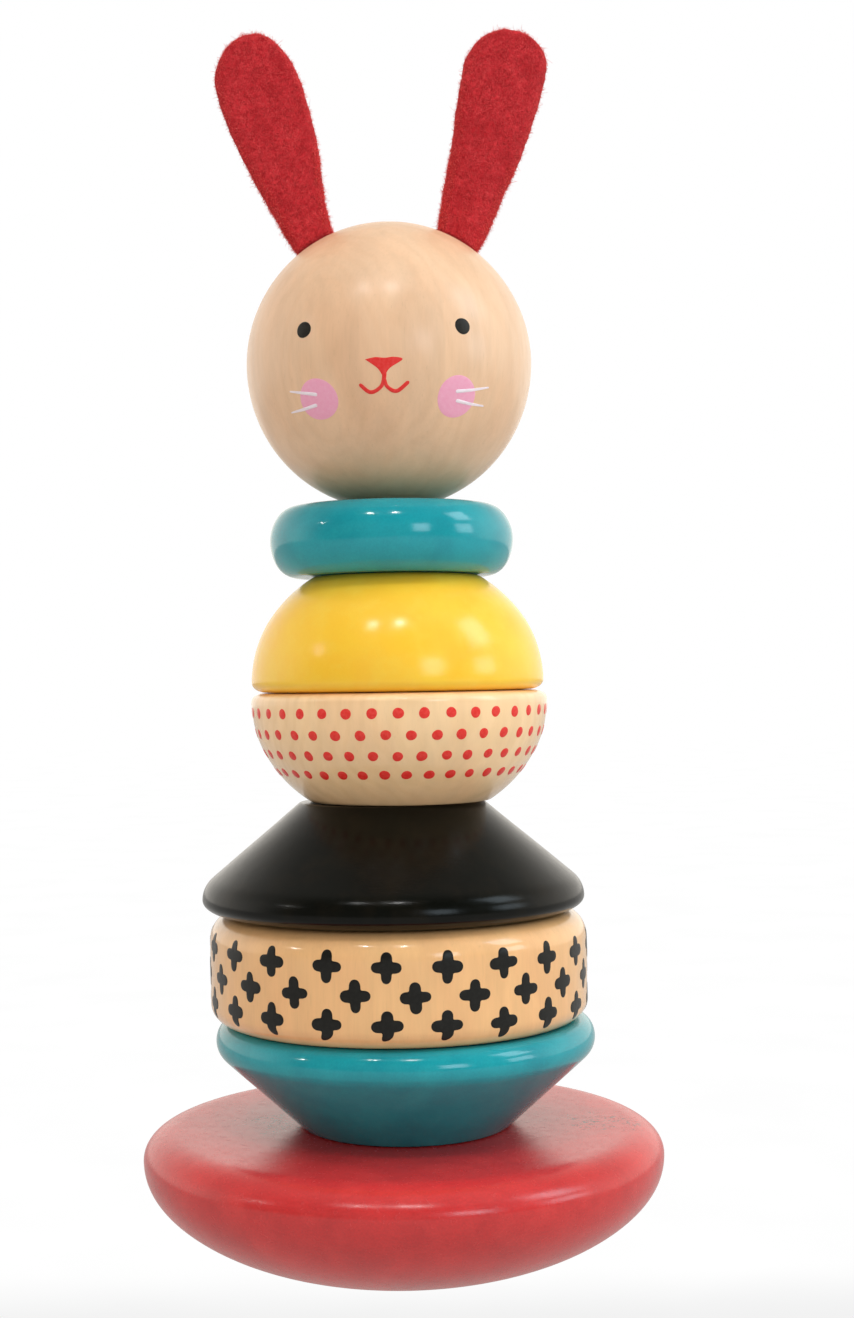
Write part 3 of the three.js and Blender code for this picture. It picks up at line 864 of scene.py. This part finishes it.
def add_ear(name, node_names, side, ear, cup, lift, materials, seed):
    """One felt ear with its loose wool, built in place at the ear's hinge."""
    draw = np.random.default_rng(seed)
    joint = next(j for j in frame["joints"] if j["child"] == name)
    hinge = np.array(joint["pos_m"]) / MM
    head = Seat("head_ball")
    centre = head.place + np.array([0, 0, head.height - HEAD["radius"]])
    outward = (hinge - centre) / np.linalg.norm(hinge - centre)
    seat_angle = abs(math.atan2(outward[0], outward[2]))
    along, rings = ear_surface(ear, side, hinge, seat_angle, cup, lift, draw)
    start, end = rings[0].mean(0), rings[-1].mean(0)
    end = end + (end - rings[-3].mean(0)) * 0.35
    points, faces = shell(rings, start, end)
    felt = add_piece(name + "_felt", points, faces, [materials[0]], crease=80.0)
    mark(felt, "felt_place", "FLOAT_VECTOR", points * MM)
    mark(felt, "past_head", "FLOAT", np.linalg.norm(points - centre, axis=1) - HEAD["radius"])
    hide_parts(*node_names)
    tufts = [fibres(rings, along, count, draw, edges) for count, edges in ((8000, True), (2000, False))]
    points, faces = gathered([tuft[:2] for tuft in tufts])
    wool = add_piece(name + "_loose_wool", points, faces, [materials[1]])
    mark(wool, "fibre_dye_and_glow", "FLOAT", np.concatenate([tuft[2] for tuft in tufts]))
    for piece in (felt, wool):
        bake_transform(piece)
    widths = ear_edge(along, ear, "inner") + ear_edge(along, ear, "outer")


# ---- Finishes ----

KNOCKS = ((-0.025, 0.0, 0.0284), (0.04, -0.003, 0.0284))  # on the base, beside the lowest cone
red_paint = lacquer_paint(
    "satin_red_paint", "D12F2F", "C02A2B", "DA3D3A", 0.24, 0.62, 0.08, scuffs="451815", knocks=KNOCKS
)
teal_paint = lacquer_paint("glossy_teal_paint", "199AA4", "128D98", "24A3A9", 0.13, 0.5, 0.05)
black_paint = lacquer_paint("glossy_black_paint", "0A0B07", "070805", "1C160D", 0.19, 0.18, 0.14)
yellow_paint = lacquer_paint("glossy_yellow_paint", "FFCC38", "FFC332", "FFD54C", 0.2, 0.5, 0.01)
head_wood = maple("head_maple", "EAC09A", "DFAE83", "E5B38A", 0.27, (48, 75), 0.16, coat=0.75, fine=0.25)
bowl_wood = maple("bowl_maple", "FFD5A2", "F2C48C", "FFCB98", 0.16, (-30, 62), 0.25, fine=0.15)
cross_wood = maple("cross_ring_maple", "F2BC80", "EBB177", "EEB178", 0.11, (70, 90), 0.15, fine=0.25)
raw_wood = maple("raw_maple", "E8CDA6", "D9B88C", "E6C39A", 0.4, (20, 30), 0.6, coat=0.0, fine=1.0)
red_ink = printed_ink("red_stamp_ink", "E82F28", "F04B42", 0.3)
black_ink = printed_ink("black_stamp_ink", "12110E", "1D1C18", 0.3)
eye_paint = printed_ink("black_eye_paint", "1A1610", "2A261F", 0.4)
nose_ink = printed_ink("red_nose_ink", "E32B27", "E84742", 0.3)
cheek_ink = printed_ink("pink_cheek_ink", "F2A4BE", "F4B0C6", 0.3)
whisker_ink = printed_ink("pale_whisker_ink", "F4E6EC", "EDDCE2", 0.3)
felt = pressed_felt("red_wool_felt", "F05656", "DC323A", "AC1A22")
wool = loose_wool("red_loose_wool", "D22E34", "FF7A72")


# ---- Turned pieces, from the base up ----

socket_radius = POST_RADIUS + 0.3
socket_floor = BASE["height"] - BASE_SOCKET
base_rest = [
    np.array([[socket_radius + BORE_EASE, BASE["height"]], [socket_radius, BASE["height"] - BORE_EASE]]),
    np.array([[socket_radius, socket_floor], [0, socket_floor]]),
]
base_walls = [np.array([[0.0, 0.0]]), *base_wall(**BASE)]
turned_piece("base_turned", "rocker_base", "base", base_walls, base_rest, red_paint, raw_wood)

post_length = Seat("post").height
post_wall = [
    np.array([[0.0, 0.0], [POST_RADIUS - 0.8, 0.0], [POST_RADIUS, 0.8]]),
    arc(POST_RADIUS - 2, post_length - 2, 2, 2, 0, 90, 12),
    np.array([[0.0, post_length]]),
]
turned_piece("post_turned", "post", "base", post_wall, [], raw_wood, raw_wood, POST_STEPS)

STACK = [
    ("lower_cone", "painted_teal", lower_cone_wall, LOWER_CONE, teal_paint),
    ("cross_ring", "printed_wood", cross_ring_wall, CROSS_RING, cross_wood),
    ("black_cone", "painted_black", black_cone_wall, BLACK_CONE, black_paint),
    ("dotted_bowl", "printed_wood", dotted_bowl_wall, DOTTED_BOWL, bowl_wood),
    ("yellow_dome", "painted_yellow", yellow_dome_wall, YELLOW_DOME, yellow_paint),
    ("neck_ring", "painted_teal", neck_ring_wall, NECK_RING, teal_paint),
]
for node, slot, outside, sizes, finish in STACK:
    wall, hole = outside(**sizes), bore(sizes["height"])
    turned_piece(node + "_turned", node, node, wall, hole, finish, raw_wood)

head_mouth = HEAD["bore"] + BORE_EASE
head_centre = math.sqrt(HEAD["radius"] ** 2 - head_mouth**2)
head_first = -math.degrees(math.asin(head_centre / HEAD["radius"]))
head_blind = [
    np.array([[0, HEAD["depth"]], [HEAD["bore"], HEAD["depth"]], [HEAD["bore"], BORE_EASE], [head_mouth, 0]])
]
head_ball = [arc(0, head_centre, HEAD["radius"], HEAD["radius"], head_first, 90, 120)]
turned_piece("head_turned", "head_ball", "head", head_blind, head_ball, head_wood, raw_wood)

# ---- Stamped dots and crosses ----

draw = np.random.default_rng(7)
bowl = Wall("dotted_bowl", dotted_bowl_wall(**DOTTED_BOWL))
DOTS_ROUND = 37
dots = []
for height, first in ((18.2, -0.5), (14.0, 4.3), (10.05, -1.1), (6.3, 2.8)):
    for i in range(DOTS_ROUND):
        angle = first + 360 / DOTS_ROUND * i + draw.normal(0, 0.25)
        along = bowl.height_to_along(height) + draw.normal(0, 0.06)
        outline = blot(draw.uniform(1.0, 1.09), 18, draw, 0.03)
        dots.append(patch(bowl, angle, along, outline, shares=(0.88, 1.0)))
add_print("red_dots", dots, red_ink, "dotted_bowl")

belt = Wall("cross_ring", cross_ring_wall(**CROSS_RING))
CROSSES_ROUND = 21
CROSS_SEAM = 18.4  # degrees between the first and last cross of a row, where the stamped roll meets
BELT_TILT = 0.45  # the rows rise this much towards the left
cross_step = (360 - CROSS_SEAM) / (CROSSES_ROUND - 1)
crosses = []
# The lowest row's lower arms bend aside, each way on its own side of the ring.
for height, first, hooked in ((15.5, -20.4, 0), (10.1, -12.5, 0), (4.75, -20.4, 1)):
    for i in range(CROSSES_ROUND):
        angle = first + cross_step * i + draw.normal(0, 0.12)
        bearing = math.radians(angle + 14)
        hook = hooked * -0.42 * math.cos(bearing) * (1 if math.sin(bearing) > -0.2 else -1)
        outline = cross_outline(3.05, 1.05, draw, hook)
        raised = height - BELT_TILT * math.sin(math.radians(angle))
        along = belt.height_to_along(raised) + draw.normal(0, 0.08)
        crosses.append(patch(belt, angle, along, outline, shares=(0.33, 0.66, 0.93, 1.0)))
add_print("black_crosses", crosses, black_ink, "cross_ring")

# ---- The rabbit's face, placed by angle from the front and height over the head's lowest edge ----

face = Wall("head_ball", [arc(0, head_centre, HEAD["radius"], HEAD["radius"], head_first, 88, 200)])


def face_height(latitude):
    """Height over the head's lowest edge of a latitude in degrees."""
    return head_centre + HEAD["radius"] * math.sin(math.radians(latitude))


def face_blot(angle, latitude, radius, **form):
    along = face.height_to_along(face_height(latitude))
    return patch(face, angle, along, blot(radius, 48, draw, 0.02), **form)


def face_stroke(path, widths, lift):
    return stroke(face, [(angle, face_height(latitude)) for angle, latitude in path], widths, lift)


eyes = [
    face_blot(angle, latitude, 1.6, shares=(0.3, 0.6, 0.85, 1.0), crown=0.12)
    for angle, latitude in ((-34.2, 6.9), (29.7, 7.0))
]
add_print("eyes", eyes, eye_paint, "head")

cheeks = [
    face_blot(angle, latitude, 4.1, shares=(0.2, 0.4, 0.6, 0.8, 0.96, 1.0), lift=0.04)
    for angle, latitude in ((-29.9, -19.9), (28.5, -19.7))
]
add_print("cheeks", cheeks, cheek_ink, "head")

whiskers = [
    face_stroke(path, (0.75, 0.6, 0.3), 0.08)
    for path in (
        ((-29.9, -18.1), (-36.5, -16.9), (-43.4, -15.6)),
        ((-30.9, -22.0), (-38.2, -23.1), (-45.8, -23.7)),
        ((27.6, -17.8), (35.5, -16.7), (43.6, -15.1)),
        ((28.2, -21.2), (35.5, -22.1), (42.9, -22.4)),
    )
]
add_print("whiskers", whiskers, whisker_ink, "head")

NOSE_EDGE = 26  # points along each side of the nose


def nose_outline():
    """A triangle with its point down, rounded corners and sides that curve in towards the stem."""
    across = (-3.5, -1.6, 0.2, 2.0, 3.6, 1.2, 0.2, -0.3, -1.2)
    up = (1.0, 1.35, 1.2, 1.35, 0.9, -0.7, -2.0, -2.0, -0.7)
    corners = np.stack([across, up], -1)
    looped = np.vstack([corners, corners[:1]])
    knots = np.arange(len(looped))
    where = np.linspace(0, len(corners), 3 * NOSE_EDGE, endpoint=False)
    points = np.stack([smooth_curve(knots, looped[:, i], where) for i in (0, 1)], -1)
    return points[::-1]


nose_along = face.height_to_along(face_height(-8.2))
stem_and_left = ((-1.9, -10.0), (-1.8, -13.0), (-3.2, -16.6), (-7.4, -18.5), (-11.6, -15.3))
right = ((-1.8, -13.6), (-0.6, -16.6), (3.1, -18.2), (7.9, -14.6))
nose = [
    patch(face, -1.9, nose_along, nose_outline(), shares=(0.4, 0.75, 0.94, 1.0)),
    face_stroke(stem_and_left, (0.95, 0.8, 0.7, 0.75, 0.7), 0.06),
    face_stroke(right, (0.7, 0.7, 0.75, 0.7), 0.07),
]
add_print("nose_and_mouth", nose, nose_ink, "head")

# ---- Ears ----

add_ear("left_ear", ["left_ear", "left_ear_root"], -1, LEFT_EAR, (0.5, 0.3), 0.8, (felt, wool), 21)
add_ear("right_ear", ["right_ear", "right_ear_root"], 1, RIGHT_EAR, (2.2, 0.6), 0.8, (felt, wool), 34)

# ---- Floor, light and camera ----


FLOOR_RADIUS = 3000.0
TOY_MIDDLE = 0.12  # metres above the floor, where every light points
DAYLIGHT = (0.75, 0.9, 1.0)


def soft_floor():
    """A pale floor, a disc of rings that widen outwards, with a faint fine grain. It looks white, with
    painted grey shade in a patch in front of the toy, but throws back only half as much light."""
    mix = Recipe(bpy.data.materials.new("pale_floor"))
    where = mix.place()
    forward = mix.add("SeparateXYZ", {"Vector": where}, "Y")
    # Painted shade: the floor as seen is darkened by up to 12 per cent in a soft patch just in front of the
    # toy.
    ahead = mix.spread(forward, -40 * MM, -2 * MM, 0.12, 0.0, smooth=True)
    apart = mix.apart(where, (0, -60 * MM, 0))
    shade_patch_share = mix.spread(apart, 90 * MM, 220 * MM, 1.0, 0.0, smooth=True)
    painted_shade_level = mix.calc("SUBTRACT", 1.0, mix.calc("MULTIPLY", ahead, shade_patch_share))
    grain = mix.spread(mix.noise(where, 40, 2), 0.3, 0.7, 0.99, 1.01)
    seen = mix.add("Emission", {"Strength": mix.calc("MULTIPLY", painted_shade_level, grain)})
    glow = mix.add("Emission", {"Color": (1.0, 0.97, 0.92, 1.0), "Strength": 0.5})
    paint = mix.add("BsdfDiffuse", {"Color": (0.15, 0.15, 0.15, 1.0)})
    lit = mix.add("AddShader", {0: glow, 1: paint})
    direct = mix.add("LightPath", output="Is Camera Ray")
    material = mix.end("Material", mix.add("MixShader", {0: direct, 1: lit, 2: seen}))
    reach = FLOOR_RADIUS * np.linspace(1, 0.02, 24) ** 1.5
    points, faces = shell(circles(reach, 0 * reach, 64), end=np.zeros(3))
    add_piece("floor", points, faces, [material])


def studio_world():
    """White straight ahead and all round, greyer overhead and duller behind the camera, so that
    glossy paint keeps its depth while its edges pale."""
    mix = Recipe(bpy.data.worlds.new("studio"))
    way = mix.add("TexCoord", output="Generated")
    height = mix.add("SeparateXYZ", {"Vector": way}, "Z")
    forward = mix.add("SeparateXYZ", {"Vector": way}, "Y")
    back = mix.spread(forward, -0.5, 0.2, 0.2, 1.3, smooth=True)
    overhead = mix.spread(height, 0.2, 0.85, 1.0, 0.35, smooth=True)
    glow = mix.calc("MULTIPLY", back, overhead)
    lit = mix.add("Background", {"Color": (1.0, 0.955, 0.88, 1.0), "Strength": glow})
    seen = mix.add("Background", {"Color": (1.0, 1.0, 1.0, 1.0), "Strength": 1.0})
    direct = mix.add("LightPath", output="Is Camera Ray")
    shader = mix.add("MixShader", {0: direct, 1: lit, 2: seen})
    bpy.context.scene.world = mix.end("World", shader)


def panel(name, azimuth, elevation, distance, size, power, glossy=True, colour=(1, 1, 1)):
    """A rectangular light that faces the toy's middle. azimuth is from the front towards the right."""
    light = bpy.data.lights.new(name, "AREA")
    light.shape = "RECTANGLE"
    light.size, light.size_y = size
    light.energy = power
    light.color = colour
    lamp = bpy.data.objects.new(name, light)
    turn, rise = math.radians(azimuth), math.radians(elevation)
    away = np.array([math.sin(turn) * math.cos(rise), -math.cos(turn) * math.cos(rise), math.sin(rise)])
    lamp.location = away * distance + np.array([0, 0, TOY_MIDDLE])
    lamp.rotation_euler = (math.pi / 2 - rise, 0, turn)
    lamp.visible_glossy = glossy
    bpy.context.scene.collection.objects.link(lamp)


soft_floor()
studio_world()
panel("soft_overhead", 20, 80, 1.3, (1.2, 1.2), 6, glossy=False)
panel("soft_key", 55, 40, 1.2, (1.0, 1.0), 4.6, glossy=False, colour=(0.9, 0.97, 1.0))
panel("soft_fill", -40, 40, 1.4, (1.2, 1.2), 1.9, glossy=False)
panel("soft_front", -10, 12, 1.4, (1.0, 1.0), 2.9, glossy=False)
panel("ceiling_lamp_left", -28, 55, 1.5, (0.05, 0.05), 1.4)
panel("ceiling_lamp_right", 4, 57, 1.5, (0.06, 0.05), 1.9)
panel("small_lamp", -70, 28, 1.5, (0.04, 0.04), 0.5)
panel("window_low", 28, 14, 1.3, (0.34, 0.36), 1.9, colour=DAYLIGHT)
panel("window_high", 78, 38, 1.3, (0.4, 0.45), 2.6, colour=DAYLIGHT)
panel("window_side", 72, 12, 1.3, (0.4, 0.34), 1.7, colour=DAYLIGHT)

camera_data = bpy.data.cameras.new("camera")
camera_data.lens = 51.35
camera_data.sensor_width = 36.0
camera_data.shift_x = 0.0228
camera_data.shift_y = 0.0137
camera = bpy.data.objects.new("camera", camera_data)
camera.location = (0.0, -0.3825, 0.1189)
camera.rotation_euler = (math.pi / 2, math.radians(0.85), 0.0)
bpy.context.scene.collection.objects.link(camera)
bpy.context.scene.camera = camera
bpy.context.scene.view_settings.view_transform = "Standard"
